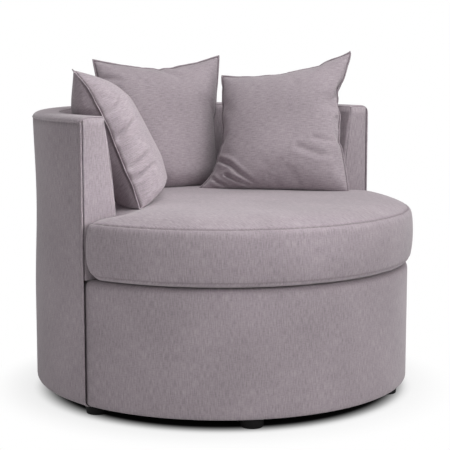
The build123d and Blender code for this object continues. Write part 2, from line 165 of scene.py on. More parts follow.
class FabricColours(bpy.types.PropertyGroup):
    light: colour("Light yarn", "Lightest yarn of the heathered weave", "#B0A5AA")
    middle: colour("Middle yarn", "Main yarn of the heathered weave", "#A2979D")
    dark: colour("Dark yarn", "Darkest yarn of the heathered weave", "#8F858B")


class StageSettings(bpy.types.PropertyGroup):
    floor: colour("Floor", "Pale floor", "#F2F2F2")
    # The floor shade is a painted shadow: the dark colour that the floor takes under the chair.
    shade: colour("Floor shade", "Floor below the base, where hardly any light comes", "#2A2A2A")
    front: plain("Front light", "Power of the low front light in watts", 18.5)
    left: plain("Left light", "Power of the low left light in watts", 8.8)
    right: plain("Right light", "Power of the high right light in watts", 9.5)
    top: plain("Top light", "Power of the overhead light in watts", 37.0)
    arm: plain("Arm light", "Power of the narrow light on the left arm in watts", 0.52)
    rear: plain("Rear light", "Power of the high light behind the chair in watts", 9.0)
    room: plain("Room light", "Strength of the light from all round", 0.225)
    lens: plain("Lens", "Focal length in millimetres", 104.16)
    camera: vector("Camera", "Place of the camera", (-2.1847, -2.5119, 0.8605), "TRANSLATION")
    aim: vector("Aim", "Direction of view", (0.65168, 0.74651, -0.13429), "DIRECTION")


class ArmchairSettings(bpy.types.PropertyGroup):
    shell: PointerProperty(type=ShellSizes)
    seat: PointerProperty(type=SeatSizes)
    scatter: PointerProperty(type=ScatterSizes)
    fabric: PointerProperty(type=FabricColours)
    stage: PointerProperty(type=StageSettings)


def settings():
    """The armchair's settings on the current scene."""
    return bpy.context.scene.armchair


# Materials
def add_node(tree, kind, options=None, inputs=None):
    """One shader node with its options; an input given a socket is linked, any other is set."""
    node = tree.nodes.new(kind)
    for name, value in (options or {}).items():
        setattr(node, name, value)
    for name, value in (inputs or {}).items():
        if isinstance(value, bpy.types.NodeSocket):
            tree.links.new(value, node.inputs[name])
        else:
            node.inputs[name].default_value = value
    return node


def start_material(name, **constants):
    """A new material with its constants set on the shader, as (material, tree, shader)."""
    material = bpy.data.materials.new(name)
    material.use_nodes = True
    shader = material.node_tree.nodes["Principled BSDF"]
    for socket, value in constants.items():
        shader.inputs[socket.replace("_", " ")].default_value = value
    return material, material.node_tree, shader


# Colour sockets of a mix node, and its options for mixing and multiplying colours
MIX_A, MIX_B, MIX_RESULT = 6, 7, 2
MIXED, MULTIPLIED = {"data_type": "RGBA"}, {"data_type": "RGBA", "blend_type": "MULTIPLY"}


def woven_fabric(name, across):
    """Flat-woven polyester with a linen look, its slubs along the cloth's length or across it."""
    found = bpy.data.materials.get(name)
    if found:
        return found
    yarn = settings().fabric
    # Heathered yarns of three tones give fine broken streaks along the warp, a matt face and a soft sheen.
    # The threads are 0.7 mm apart in the real cloth and are drawn 2 mm apart, so that they show.
    spacing, slub, weft_slub = 0.0020, 0.020, 0.009
    along = (1 / slub, 1 / spacing, 1.0) if across else (1 / spacing, 1 / slub, 1.0)
    aside = (1 / spacing, 1 / weft_slub, 1.0) if across else (1 / weft_slub, 1 / spacing, 1.0)
    # Where hands have brushed the cloth, the nap lies another way in patches some 0.12 m wide.
    patch_width, patch_height = 0.12, 0.16
    patch = (1 / patch_width, 1 / patch_height, 1.0)
    material, tree, shader = start_material(
        name, Roughness=0.92, IOR=1.45, Specular_IOR_Level=0.25, Sheen_Weight=0.22, Sheen_Roughness=0.45
    )
    cloth = add_node(tree, "ShaderNodeTexCoord").outputs["UV"]
    figures = []
    for scale, detail, rough in ((along, 2.0, 0.55), (aside, 2.0, 0.55), (patch, 1.5, 0.5)):
        place = add_node(tree, "ShaderNodeMapping", inputs={"Vector": cloth, "Scale": scale}).outputs[0]
        grain = {"Vector": place, "Scale": 1.0, "Detail": detail, "Roughness": rough}
        figures.append(add_node(tree, "ShaderNodeTexNoise", inputs=grain).outputs[0])
    warp, weft, nap = figures
    thread = add_node(tree, "ShaderNodeMix", inputs={"Factor": 0.35, 2: warp, 3: weft}).outputs[0]
    shares = []
    for value, low, high, least, most in (
        (thread, 0.34, 0.52, 0.0, 1.0),
        (thread, 0.50, 0.68, 0.0, 1.0),
        (nap, 0.3, 0.7, 0.94, 1.06),
    ):
        ends = {"From Min": low, "From Max": high, "To Min": least, "To Max": most}
        shares.append(add_node(tree, "ShaderNodeMapRange", inputs={"Value": value, **ends}).outputs[0])
    middling, lightest, brushed = shares
    # Sewn lines lie in a shallow furrow, darkened with painted shade.
    furrow = add_node(tree, "ShaderNodeAttribute", {"attribute_name": "seam"}).outputs["Fac"]
    tone = yarn.dark
    for options, share, other in (
        (MIXED, middling, yarn.middle),
        (MIXED, lightest, yarn.light),
        (MULTIPLIED, 1.0, brushed),
        # Painted shade in the seam furrows.
        (MULTIPLIED, furrow, linear("#9A9094")),
    ):
        mix = add_node(tree, "ShaderNodeMix", options, {0: share, MIX_A: tone, MIX_B: other})
        tone = mix.outputs[MIX_RESULT]
    relief = {"Height": thread, "Strength": 0.35, "Distance": 0.0006}
    bump = add_node(tree, "ShaderNodeBump", inputs=relief)
    tree.links.new(tone, shader.inputs["Base Color"])
    tree.links.new(bump.outputs[0], shader.inputs["Normal"])
    return material


def grained(name, light, dark, grain, stretch, roughness, bump_depth, **constants):
    """A material of two tones in a stretched grain on Object coordinates, with a matching relief."""
    material, tree, shader = start_material(name, Roughness=roughness, **constants)
    place = add_node(tree, "ShaderNodeTexCoord").outputs["Object"]
    scale = [1 / (grain * share) for share in stretch]
    mapped = add_node(tree, "ShaderNodeMapping", inputs={"Vector": place, "Scale": scale}).outputs[0]
    detail = {"Vector": mapped, "Scale": 1.0, "Detail": 4.0, "Roughness": 0.6}
    figure = add_node(tree, "ShaderNodeTexNoise", inputs=detail).outputs[0]
    ends = {"Value": figure, "From Min": 0.3, "From Max": 0.7}
    share = add_node(tree, "ShaderNodeMapRange", inputs=ends).outputs[0]
    tone = add_node(tree, "ShaderNodeMix", MIXED, {0: share, MIX_A: linear(dark), MIX_B: linear(light)})
    relief = {"Height": figure, "Strength": 0.5, "Distance": bump_depth}
    bump = add_node(tree, "ShaderNodeBump", inputs=relief)
    tree.links.new(tone.outputs[MIX_RESULT], shader.inputs["Base Color"])
    tree.links.new(bump.outputs[0], shader.inputs["Normal"])
    return material


def frame_materials():
    """Material of each of the record's slots that CAD nodes keep."""
    even, upright, flat = (1, 1, 1), (1, 1, 14), (12, 1, 1)
    return {
        # Moulded polypropylene: near black, fine spark-eroded texture, soft gloss.
        "foot_plastic": grained(
            "moulded polypropylene", "#131213", "#0B0A0B", 0.0012, even, 0.7, 0.0002, Specular_IOR_Level=0.15
        ),
        # Zinc-plated steel wire and screws: light grey metal with faint drawing lines.
        "fastener_steel": grained(
            "zinc-plated steel", "#B9BCC0", "#8E9195", 0.002, upright, 0.34, 0.0001, Metallic=1.0
        ),
        # Die-cast zinc zip slider, nickel plated: warm bright metal, slightly worn.
        "slider_metal": grained(
            "nickel-plated zinc", "#C6C2BC", "#9C978F", 0.003, even, 0.28, 0.0001, Metallic=1.0
        ),
        # Woven polyester zip tape with its nylon coil: close ribs, matt.
        "zip_tape": grained("polyester zip tape", "#8C8287", "#6B6266", 0.0012, (1, 1, 4), 0.85, 0.0003),
        # Birch plywood: pale face with a long, faint grain.
        "plywood": grained("birch plywood", "#D9BE94", "#B9976A", 0.006, flat, 0.62, 0.0003),
        # Sawn spruce: straw colour, straight upright grain.
        "softwood": grained("sawn spruce", "#DCC398", "#BE9A66", 0.004, upright, 0.66, 0.0004),
        # Hardboard: brown pressed fibres, hard and slightly shiny.
        "hardboard": grained("pressed hardboard", "#8A6541", "#6E4D2F", 0.003, even, 0.55, 0.0002),
        # Elastic webbing: close black ribs.
        "webbing": grained("elastic webbing", "#3A3836", "#24221F", 0.002, (3, 3, 1), 0.8, 0.0004),
        # Polyurethane foam: cream open cells.
        "foam": grained("polyurethane foam", "#E9DFBF", "#D3C59B", 0.0016, even, 0.95, 0.0006),
        # Polyester wadding: white loose fibres.
        "wadding": grained("polyester wadding", "#F0EFEC", "#DEDCD7", 0.004, (3, 1, 1), 0.97, 0.0012),
        # Spun-bonded lining: black flat fibres with a soft sheen.
        "lining_cloth": grained("spun-bonded lining", "#2A292A", "#191819", 0.0018, even, 0.9, 0.0003),
    }


# Mesh work that several pieces share
def clamp(value, low=0.0, high=1.0):
    """The value, kept between two limits."""
    return max(low, min(high, value))


def only(kind, parts):
    """The parts of one kind, such as edges."""
    return [part for part in parts if isinstance(part, kind)]


def everything(bm):
    """All the geometry that a mesh operation may touch."""
    return [*bm.verts, *bm.edges, *bm.faces]


def kept(name, bm):
    """Keeps a mesh that is being edited under a name."""
    mesh = bpy.data.meshes.new(name)
    bm.to_mesh(mesh)
    bm.free()
    return mesh


def opened(mesh):
    """Opens a mesh for editing."""
    bm = bmesh.new()
    bm.from_mesh(mesh)
    return bm


def new_object(name, data):
    """A new object in the scene."""
    made = bpy.data.objects.new(name, data)
    bpy.context.scene.collection.objects.link(made)
    return made


def waist(height):
    """How far the outside draws in at a height."""
    s = settings().shell
    share = clamp((height - s.waist_height) / s.waist_reach, -1.0)
    return s.waist * cos(share * pi / 2) ** 2


def inner_radius(height):
    """Radius of the leaning inside back at a height."""
    s = settings().shell
    share = (height - s.seat_plane) / (s.inner_top - s.seat_plane)
    return s.inner_low + share * (s.inner_high - s.inner_low)


def rim_height(radius):
    """Height of the crowned top band at a radius."""
    s = settings().shell
    middle, half = (s.inner_high + s.radius) / 2, (s.radius - s.inner_high) / 2
    share = (radius - middle) / half
    drop = s.top - s.seam if share > 0 else s.rim_inner_drop
    # The higher this power, the flatter the crown.
    flatness = 2.5
    return s.top - drop * (1 - (1 - min(1.0, abs(share)) ** flatness) ** 0.5)


def section(bm, points, rounds, start=0.0, cuts=12):
    """Line through (radius, height) points at a bearing, its corners rounded and long runs divided."""
    verts = [bm.verts.new((r * cos(start), r * sin(start), z)) for r, z in points]
    for pair in zip(verts, verts[1:]):
        bm.edges.new(pair)
    bend = {"segments": 5, "profile": 0.5, "affect": "VERTICES", "material": -1}
    for vert, radius in zip(verts[1:-1], rounds):
        bmesh.ops.bevel(bm, geom=[vert], offset=radius, **bend)
    runs = [edge for edge in bm.edges if edge.calc_length() > LONG_RUN]
    bmesh.ops.subdivide_edges(bm, edges=runs, cuts=cuts)
    return bm.edges[:]


def sweep(bm, edges, angle, steps):
    """Turns a section about the upright axis and returns its last edges."""
    geom = [*{vert for edge in edges for vert in edge.verts}, *edges]
    path = {"cent": (0, 0, 0), "axis": (0, 0, 1), "angle": angle, "steps": steps}
    turned = bmesh.ops.spin(bm, geom=geom, use_merge=abs(angle - 2 * pi) < 1e-6, **path)
    return only(bmesh.types.BMEdge, turned["geom_last"])


def run_on(bm, edges, shifts):
    """Carries an open edge on through a series of shifts and returns its last edges and verts."""
    verts = []
    for shift in shifts:
        grown = bmesh.ops.extrude_edge_only(bm, edges=edges)["geom"]
        edges, verts = only(bmesh.types.BMEdge, grown), only(bmesh.types.BMVert, grown)
        bmesh.ops.translate(bm, verts=verts, vec=shift)
    return edges, verts


def forward(run):
    """Shifts of an edge that runs straight towards the arm fronts."""
    return [(0, -run / RUN_STEPS, 0)] * RUN_STEPS


def quarter_round(radius, steps=4):
    """Steps of a quarter round, as (onward, aside)."""
    turns = [pi / 2 * step / steps for step in range(steps + 1)]
    return [(radius * (sin(b) - sin(a)), radius * (cos(a) - cos(b))) for a, b in zip(turns, turns[1:])]


def draw_waist(bm):
    """Draws the outside in along its own radius, behind the stiff arm fronts."""
    s = settings().shell
    for vert in bm.verts:
        x, y, z = vert.co
        share = clamp((y + s.reach) / s.waist_start)
        out = Vector((x, max(y, 0.0), 0.0))
        vert.co -= out.normalized() * waist(z) * sin(share * pi / 2) ** 2


def close_mesh(bm):
    """Merges doubles and turns all faces outwards."""
    bmesh.ops.remove_doubles(bm, verts=bm.verts, dist=1e-5)
    bmesh.ops.recalc_face_normals(bm, faces=bm.faces)


def face_along(bm, way):
    """Turns an open sheet's faces the way that a function of a face's middle gives."""
    close_mesh(bm)
    if sum(way(face.calc_center_median()).dot(face.normal) for face in bm.faces) < 0:
        bmesh.ops.reverse_faces(bm, faces=bm.faces)


def outward(middle):
    """Level way from the chair's axis to a point."""
    return Vector((middle.x, middle.y, 0))


def towards(x, y, z):
    """A way that is the same from every point."""
    return lambda middle: Vector((x, y, z))


def shell_cloth(point, face):
    """Fabric coordinates in metres on the shell: along its plan, then up."""
    radius = settings().shell.radius
    x, y, z = point
    if y >= 0:
        return radius * atan2(y, x), z
    return (y, z) if x > 0 else (radius * pi - y, z)


def front_cloth(point, face):
    """Fabric coordinates in metres on the base front: along its arc, then up."""
    return settings().shell.front_radius * atan2(point.x, -point.y), point.z


def panel_cloth(point, face):
    """Fabric coordinates in metres on an upright panel that faces the front."""
    return point.x, point.z


def flat_cloth(point, face):
    """Fabric coordinates in metres on a level panel."""
    return point.x, point.y


def lay_cloth(bm, place):
    """Writes the fabric coordinates that a place function gives as the UV map."""
    layer = bm.loops.layers.uv.get("cloth") or bm.loops.layers.uv.new("cloth")
    for face in bm.faces:
        face.smooth = True
        for loop in face.loops:
            loop[layer].uv = place(loop.vert.co, face)


def new_piece(name, bm, material, body, nodes=()):
    """Keeps a mesh as a piece on a CAD body that stands for CAD nodes."""
    mesh = kept(name, bm)
    mesh.materials.append(material)
    piece = new_object(name, mesh)
    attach(piece, body)
    if nodes:
        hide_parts(*nodes)
    return piece


def sheet(name, bm, way, cloth, nodes=(), thickness=None, lined=False):
    """Keeps an open mesh as a sheet of the frame, of fabric or lining, that is thickened inwards."""
    face_along(bm, way)
    lay_cloth(bm, cloth)
    if lined:
        material, slot = bpy.data.materials["spun-bonded lining"], "lining_cloth"
    else:
        material, slot = woven_fabric("linen-look weave", False), "chair_fabric"
    piece = new_piece(name, bm, material, "frame", nodes)
    wall = piece.modifiers.new("Fabric", "SOLIDIFY")
    wall.thickness = thickness or settings().shell.cloth
    wall.offset = -1.0


# Shell covers
class ArmchairOutsideCover(bpy.types.Operator):
    """Outside back and arm sides: one sheet that draws in at the waist and folds under at the hem"""

    bl_idname = "armchair.outside_cover"
    bl_label = "Outside cover"

    def execute(self, context):
        s = settings().shell
        bm = bmesh.new()
        points = [(s.radius - s.turn_under, s.hem), (s.radius, s.hem), (s.radius, s.seam)]
        first = section(bm, points, [s.hem_round], cuts=30)
        last = sweep(bm, first, pi, ARC_STEPS)
        for edges, side in ((first, 1), (last, -1)):
            turn = [(-side * aside, -onward, 0) for onward, aside in quarter_round(s.corner_round)]
            run_on(bm, edges, forward(s.reach - s.corner_round) + turn + [(0, s.slit_depth, 0)])
        draw_waist(bm)
        sheet("outside_cover", bm, outward, shell_cloth, ("outside_back_cover", "outer_wadding"))
        return {"FINISHED"}


class ArmchairTopBand(bpy.types.Operator):
    """Padded band along the top of the back and arms, rolled over at the arm fronts"""

    bl_idname = "armchair.top_band"
    bl_label = "Top band"

    # Faces across the band, and the radius of its turn down to the inside
    cuts, lap_round = 24, 0.002

    def execute(self, context):
        s = settings().shell
        bm = bmesh.new()
        lap = (s.inner_high + s.cloth / 2, s.inner_top - s.rim_lap)
        width, cuts = s.radius - s.inner_high, self.cuts
        across = [s.inner_high + width * (1 - cos(pi * step / cuts)) / 2 for step in range(cuts + 1)]
        first = section(bm, [lap] + [(radius, rim_height(radius)) for radius in across], [self.lap_round])
        last = sweep(bm, first, pi, ARC_STEPS)
        nose = [(0, -onward, -aside) for onward, aside in quarter_round(s.rim_round, 5)]
        for edges in (first, last):
            run_on(bm, edges, forward(s.reach - s.rim_round) + nose)
        draw_waist(bm)
        sheet("top_band_cover", bm, towards(0, 0, 1), shell_cloth, ("top_band", "rim_foam"))
        return {"FINISHED"}


class ArmchairInsideCover(bpy.types.Operator):
    """Inside back and arms: a leaning sheet that swells a little above the seat cushion"""

    bl_idname = "armchair.inside_cover"
    bl_label = "Inside cover"

    def execute(self, context):
        s = settings().shell
        bm = bmesh.new()
        seat_top = settings().seat.top
        points = [(inner_radius(INNER_LOW.z), INNER_LOW.z), (s.inner_high, s.inner_top)]
        first = section(bm, points, [], cuts=24)
        for vert in bm.verts:
            share = (vert.co.z - seat_top) / (s.inner_top - seat_top)
            vert.co.x -= s.inner_crown * sin(pi * clamp(share))
        last = sweep(bm, first, pi, ARC_STEPS)
        for edges, side in ((first, 1), (last, -1)):
            turn = [(side * aside, -onward, 0) for onward, aside in quarter_round(s.edge_round)]
            run_on(bm, edges, forward(s.reach - s.edge_round) + turn)
        sheet("inside_cover", bm, lambda middle: -outward(middle), shell_cloth, ["inside_back_cover"])
        return {"FINISHED"}


class ArmchairArmPanels(bpy.types.Operator):
    """Padded panels that close the arm fronts"""

    bl_idname = "armchair.arm_panels"
    bl_label = "Arm front panels"

    def execute(self, context):
        s = settings().shell
        seat_top = settings().seat.top
        for side, name in ((1, "left"), (-1, "right")):
            bm = bmesh.new()
            outer = s.radius - 1.5 * s.welt - s.slit - s.corner_round
            corners = [
                (inner_radius(s.seat_plane) + s.edge_round / 2, s.seat_plane),
                (outer, s.seat_plane),
                (outer, s.seam),
                (inner_radius(s.seam) + s.edge_round / 2, s.seam),
            ]
            verts = [bm.verts.new((side * x, -s.reach - s.cloth / 4, z)) for x, z in corners]
            bm.faces.new(verts)
            bmesh.ops.subdivide_edges(bm, edges=bm.edges, cuts=23, use_grid_fill=True)
            for vert in bm.verts:
                x, y, z = vert.co
                low = inner_radius(z) + s.edge_round / 2
                across = (abs(x) - low) / (outer - low)
                up = clamp((z - seat_top) / (s.seam - seat_top))
                vert.co.y -= s.inner_crown * sin(pi * across) * sin(pi * up) ** 0.7
                vert.co.z += (rim_height(abs(x)) - s.rim_round - s.seam) * up**6
            edges = [edge for edge in bm.edges if all(abs(vert.co.x) > outer - 1e-5 for vert in edge.verts)]
            turn = [(side * onward, aside, 0) for onward, aside in quarter_round(s.corner_round)]
            floor = (side * (2 * s.welt + s.slit), 0, 0)
            run_on(bm, edges, turn + [(0, s.slit_depth, 0), floor])
            nodes = (f"arm_front_panel_{name}", f"arm_front_pad_{name}")
            sheet(f"arm_front_{name}", bm, towards(0, -1, 0), panel_cloth, nodes)
        return {"FINISHED"}


class ArmchairWelt(bpy.types.Operator):
    """Sewn welt up one arm edge, round the outer top edge and down the other arm edge"""

    bl_idname = "armchair.welt"
    bl_label = "Welt"

    # Steps of its run down an arm edge
    drops = 30

    def execute(self, context):
        s = settings().shell
        bm = bmesh.new()
        ring = bmesh.ops.create_circle(bm, segments=10, radius=s.welt)["verts"]
        bmesh.ops.transform(bm, matrix=Matrix.Rotation(pi / 2, 4, "X"), verts=ring)
        bmesh.ops.translate(bm, verts=ring, vec=(s.radius - s.welt * 0.5, 0, s.seam))
        first = bm.edges[:]
        last = sweep(bm, first, pi, ARC_STEPS)
        bend = 2 * s.welt
        for edges in (first, last):
            edges, verts = run_on(bm, edges, forward(s.reach - s.welt / 2 - bend))
            pivot = (verts[0].co.x, verts[0].co.y, s.seam - bend)
            geom = [*verts, *edges]
            turned = bmesh.ops.spin(bm, geom=geom, cent=pivot, axis=(1, 0, 0), angle=pi / 2, steps=5)
            edges = only(bmesh.types.BMEdge, turned["geom_last"])
            drop = (0, 0, -(s.seam - bend - s.hem - s.hem_round) / self.drops)
            edges, _ = run_on(bm, edges, [drop] * self.drops)
            bmesh.ops.edgeloop_fill(bm, edges=edges)
        draw_waist(bm)
        close_mesh(bm)
        lay_cloth(bm, shell_cloth)
        fabric = woven_fabric("linen-look weave", False)
        new_piece("shell_welt", bm, fabric, "frame")
        return {"FINISHED"}


class ArmchairBaseFront(bpy.types.Operator):
    """Round front of the base with a rolled upper edge, tucked in behind the arm seams"""

    bl_idname = "armchair.base_front"
    bl_label = "Base front"

    # Height below which the front is upright, and the flat strip inside its turn under
    upright, flat_hem = 0.3, 0.001

    def execute(self, context):
        s = settings().shell
        bm = bmesh.new()
        points = [
            (s.front_radius - s.front_hem_round - self.flat_hem, s.hem),
            (s.front_radius, s.hem),
            (s.front_radius, s.seat_plane),
            (s.front_radius - s.front_lip, s.seat_plane),
        ]
        rim = asin((s.reach - s.front_tuck) / s.front_radius)
        first = section(bm, points, [s.front_hem_round, s.front_roll], start=rim - pi, cuts=16)
        sweep(bm, first, pi - 2 * rim, ARC_STEPS)
        nodes = ("front_base_cover", "front_wadding")
        sheet("base_front_cover", bm, self.way, front_cloth, nodes)
        return {"FINISHED"}

    def way(self, middle):
        """Way out of the front, and up as well on its lip."""
        return middle - Vector((0, 0, min(middle.z, self.upright)))


def disc(radius, height, sag, sag_radius):
    """Level round cloth that hangs a little inside a given radius."""
    bm = bmesh.new()
    edges = section(bm, [(0.0, height), (radius, height)], [], cuts=24)
    for vert in bm.verts:
        share = min(1.0, vert.co.x / sag_radius)
        vert.co.z -= sag * (1 - share**2)
    sweep(bm, edges, 2 * pi, ARC_STEPS)
    return bm


class ArmchairDeckAndDustCloth(bpy.types.Operator):
    """Cloth over the webbing under the seat cushion, and the dust cloth below the base"""

    bl_idname = "armchair.deck_and_dust_cloth"
    bl_label = "Deck and dust cloth"

    # Sag of the deck and of the dust cloth, and the radius inside which the dust cloth hangs
    deck_sag, dust_sag, dust_reach = 0.001, 0.005, 0.36
    # Thickness of the deck's cloth as a share of the upholstery's
    thin = 0.7

    def execute(self, context):
        s = settings().shell
        bm = disc(-DECK_LOW.y, DECK_HIGH.z, 0.0, 1.0)
        plane = {"plane_co": (0, -s.reach, 0), "plane_no": (0, 1, 0)}
        near = bmesh.ops.bisect_plane(bm, geom=everything(bm), clear_outer=True, **plane)
        if not near["geom_cut"]:
            raise RuntimeError("the deck's front was not cut at the arm fronts")
        up, down = towards(0, 0, 1), towards(0, 0, -1)
        sheet("deck_front_cloth", bm, up, flat_cloth, ["deck_cloth"], s.cloth * self.thin)
        bm = disc(DECK_HIGH.y, DECK_HIGH.z - s.cloth / 4, self.deck_sag, DECK_HIGH.y)
        sheet("deck_rear_cloth", bm, up, flat_cloth, thickness=s.cloth / 2, lined=True)
        bm = disc(DUST_HIGH.x, DUST_LOW.z, self.dust_sag, self.dust_reach)
        thickness = DUST_HIGH.z - DUST_LOW.z
        sheet("dust_cloth_sheet", bm, down, flat_cloth, ["dust_cloth"], thickness, lined=True)
        return {"FINISHED"}


# Loose cushions
def settled(piece):
    """The piece's mesh with its modifiers applied."""
    view = bpy.context.evaluated_depsgraph_get()
    return bpy.data.meshes.new_from_object(piece.evaluated_get(view))


def fill_cloth(mesh, pressure, stiffness, bending, frames):
    """Places of a closed mesh's points after it is blown up as cloth."""
    scene = bpy.context.scene
    bag = new_object("bag", mesh)
    cloth = bag.modifiers.new("Filling", "CLOTH")
    stuff = cloth.settings
    stuff.quality = 6
    stuff.mass = 0.2
    stuff.tension_stiffness = stiffness
    stuff.compression_stiffness = stiffness
    stuff.shear_stiffness = stiffness / 2
    stuff.bending_stiffness = bending
    stuff.use_pressure = True
    stuff.uniform_pressure_force = pressure
    stuff.effector_weights.gravity = 0.0
    cloth.collision_settings.use_collision = False
    cloth.point_cache.frame_start = 1
    cloth.point_cache.frame_end = frames
    for step in range(1, frames + 1):
        scene.frame_set(step)
    filled = settled(bag)
    points = [vert.co.copy() for vert in filled.vertices]
    scene.frame_set(1)
    bpy.data.objects.remove(bag)
    bpy.data.meshes.remove(filled)
    return points


def halved(mesh):
    """The mesh with each face divided into four by one round of subdivision."""
    holder = new_object("holder", mesh)
    finer = holder.modifiers.new("Finer", "SUBSURF")
    finer.levels = finer.render_levels = 1
    finer.uv_smooth = "NONE"
    result = settled(holder)
    bpy.data.objects.remove(holder)
    return result


def round_pad(reaches, heights, rounds, shift):
    """Closed round pad through four radii and their heights, moved forward by a shift."""
    bm = bmesh.new()
    points = [(0, heights[0]), *zip(reaches, heights), (0, heights[-1])]
    sweep(bm, section(bm, points, rounds, cuts=6), 2 * pi, 128)
    bmesh.ops.translate(bm, verts=bm.verts, vec=(0, -shift, 0))
    close_mesh(bm)
    return bm


def seat_blank():
    """Tee-plan cushion before it is filled: two round pads that overlap."""
    c = settings().seat
    low, high = c.bottom + c.slack / 2, c.seam - c.slack / 2
    heights = (low, (low + high) / 2, high, c.top - c.slack)
    # The wide front pad, cut off behind the notch
    out = c.radius - c.slack
    reaches = (out - 0.008, out, out - 0.006, out - 0.09)
    bm = round_pad(reaches, heights, [0.012, 0.03, 0.004, 0.04], 0)
    plane = {"plane_co": (0, -c.notch - c.slack / 2, 0), "plane_no": (0, 1, 0)}
    done = bmesh.ops.bisect_plane(bm, geom=everything(bm), clear_outer=True, **plane)
    bmesh.ops.edgeloop_fill(bm, edges=only(bmesh.types.BMEdge, done["geom_cut"]))
    # The narrower pad between the arms
    near, far = inner_radius(low) - c.gap - c.slack, inner_radius(high) - c.gap - c.slack
    reaches = (near - 0.006, (near + far) / 2 + 0.004, far - 0.004, far - 0.05)
    rear = kept("rear_pad", round_pad(reaches, heights, [0.012, 0.03, 0.004, 0.02], c.shift))
    bm.from_mesh(rear)
    bpy.data.meshes.remove(rear)
    return bm


def seat_cloth(point, face):
    """Fabric coordinates of the seat cushion: round its side, or level on its panels."""
    c = settings().seat
    middle = face.calc_center_median()
    if c.low_seam < middle.z < c.seam and abs(face.normal.z) < 0.8:
        bearing = atan2(middle.x, -middle.y)
        turn = atan2(point.x, -point.y) - bearing
        turn = (turn + pi) % (2 * pi) - pi
        return c.radius * (bearing + turn), point.z
    return point.x, point.y


class ArmchairSeatCushion(bpy.types.Operator):
    """Loose seat cushion: blown up as cloth, held to its room, then sewn along both seams"""

    bl_idname = "armchair.seat_cushion"
    bl_label = "Seat cushion"

    # Rounds of smoothing after the filling
    smoothings = 4
    # How far the corners beside the arms draw in at the seams
    corner_draw = 0.012
    # Radius outside which the lower edge curls, and distance from the middle plane of the arms' corners
    curl_start, arm_start = 0.43, 0.40
    # Darkness of the painted shade along the lower and the upper seam, and how far the upper one lies below
    # its panel
    low_mark, high_mark, high_drop = 0.3, 0.6, 0.001

    def execute(self, context):
        c = settings().seat
        holder = new_object("seat_blank", kept("seat_blank", seat_blank()))
        voxels = holder.modifiers.new("Even", "REMESH")
        voxels.mode = "VOXEL"
        voxels.voxel_size = c.voxel
        even = settled(holder)
        bpy.data.objects.remove(holder)

        start = [vert.co.copy() for vert in even.vertices]
        filled = fill_cloth(even.copy(), pressure=4.0, stiffness=12.0, bending=0.6, frames=18)
        for vert, old, new in zip(even.vertices, start, filled):
            move = new - old
            vert.co = old + move * min(1.0, c.swell_limit / max(move.length, 1e-9))
        bm = opened(even)
        self.round_corners(bm)
        axes = {f"use_axis_{axis}": True for axis in "xyz"}
        for _ in range(self.smoothings):
            bmesh.ops.smooth_vert(bm, verts=bm.verts, factor=0.5, **axes)
        grown = c.radius / max(hypot(vert.co.x, vert.co.y) for vert in bm.verts)
        bmesh.ops.scale(bm, vec=(grown, grown, 1), verts=bm.verts)
        bm.to_mesh(even)
        bm.free()
        bm = opened(halved(even))
        self.hold(bm)
        self.sew(bm)
        bm.normal_update()
        lay_cloth(bm, seat_cloth)
        fabric = woven_fabric("linen-look weave", False)
        nodes = ("seat_cushion_cover", "seat_cushion_core")
        piece = new_piece("seat_cushion_pad", bm, fabric, "seat_cushion", nodes)
        return {"FINISHED"}

    def round_corners(self, bm):
        """Draws the two corners beside the arms in to a round that widens towards the bottom."""
        c = settings().seat
        middle, half = (c.bottom + c.seam) / 2, (c.seam - c.bottom) / 2
        for vert in bm.verts:
            x, y, z = vert.co
            side = 1 if x > 0 else -1
            level = (z - middle) / half
            draw = self.corner_draw * min(1.0, abs(level)) ** 4
            radius = c.corner + c.corner_low * max(0.0, -level) ** 3
            out, back = c.radius - c.slack - radius, -c.notch - radius
            pivot = Vector((side * (out**2 - back**2) ** 0.5, back))
            away = Vector((x, y)) - pivot
            along = away.x / pivot.x
            if along > 0 and away.y - along * pivot.y > 0 and away.length > radius - draw:
                vert.co.xy = pivot + away * (radius - draw) / away.length

    def hold(self, bm):
        """Keeps the cushion off the inside back, the arms and the deck, and curls its lower edge."""
        c = settings().seat
        for vert in bm.verts:
            x, y, z = vert.co
            over = max(0.0, (hypot(x, y) - self.curl_start) / (c.radius - self.curl_start))
            z = max(z, c.bottom + c.curl * over**2)
            if y > -c.notch:
                room = inner_radius(min(z, c.seam)) - c.gap / 2
                out = hypot(x, y + c.shift)
                if out > room and abs(x) > self.arm_start:
                    y = -c.notch
                elif out > room:
                    x, y = x * room / out, (y + c.shift) * room / out - c.shift
            vert.co = (x, y, z)

    def sew(self, bm):
        """Pulls the two seams in along lines of their own and paints shade along them."""
        c = settings().seat
        furrow = bm.verts.layers.float.new("seam")
        seams = ((c.low_seam, self.low_mark), (c.seam - self.high_drop, self.high_mark))
        for height, strength in seams:
            for step in (-c.seam_width, 0.0, c.seam_width):
                plane = {"plane_co": (0, 0, height + step), "plane_no": (0, 0, 1)}
                bmesh.ops.bisect_plane(bm, geom=everything(bm), dist=1e-6, **plane)
            bm.normal_update()
            for vert in bm.verts:
                steep = max(0.05, hypot(vert.normal.x, vert.normal.y))
                mark = max(0.0, 1 - abs(vert.co.z - height) / steep / c.seam_width)
                vert.co -= vert.normal * c.seam_depth * mark
                # Painted shade along the seam, fading with its pull.
                vert[furrow] = max(vert[furrow], strength * mark)


SCATTER_PLACES = {
    # Middle of each cushion, its turn about the upright and its lean back in degrees, as in the CAD source
    "left": ((-0.250, 0.128, 0.650), 51.0, -28.0),
    "middle": ((0.057, 0.301, 0.662), -13.0, -19.0),
    "right": ((0.253, 0.055, 0.650), -53.0, -28.0),
}


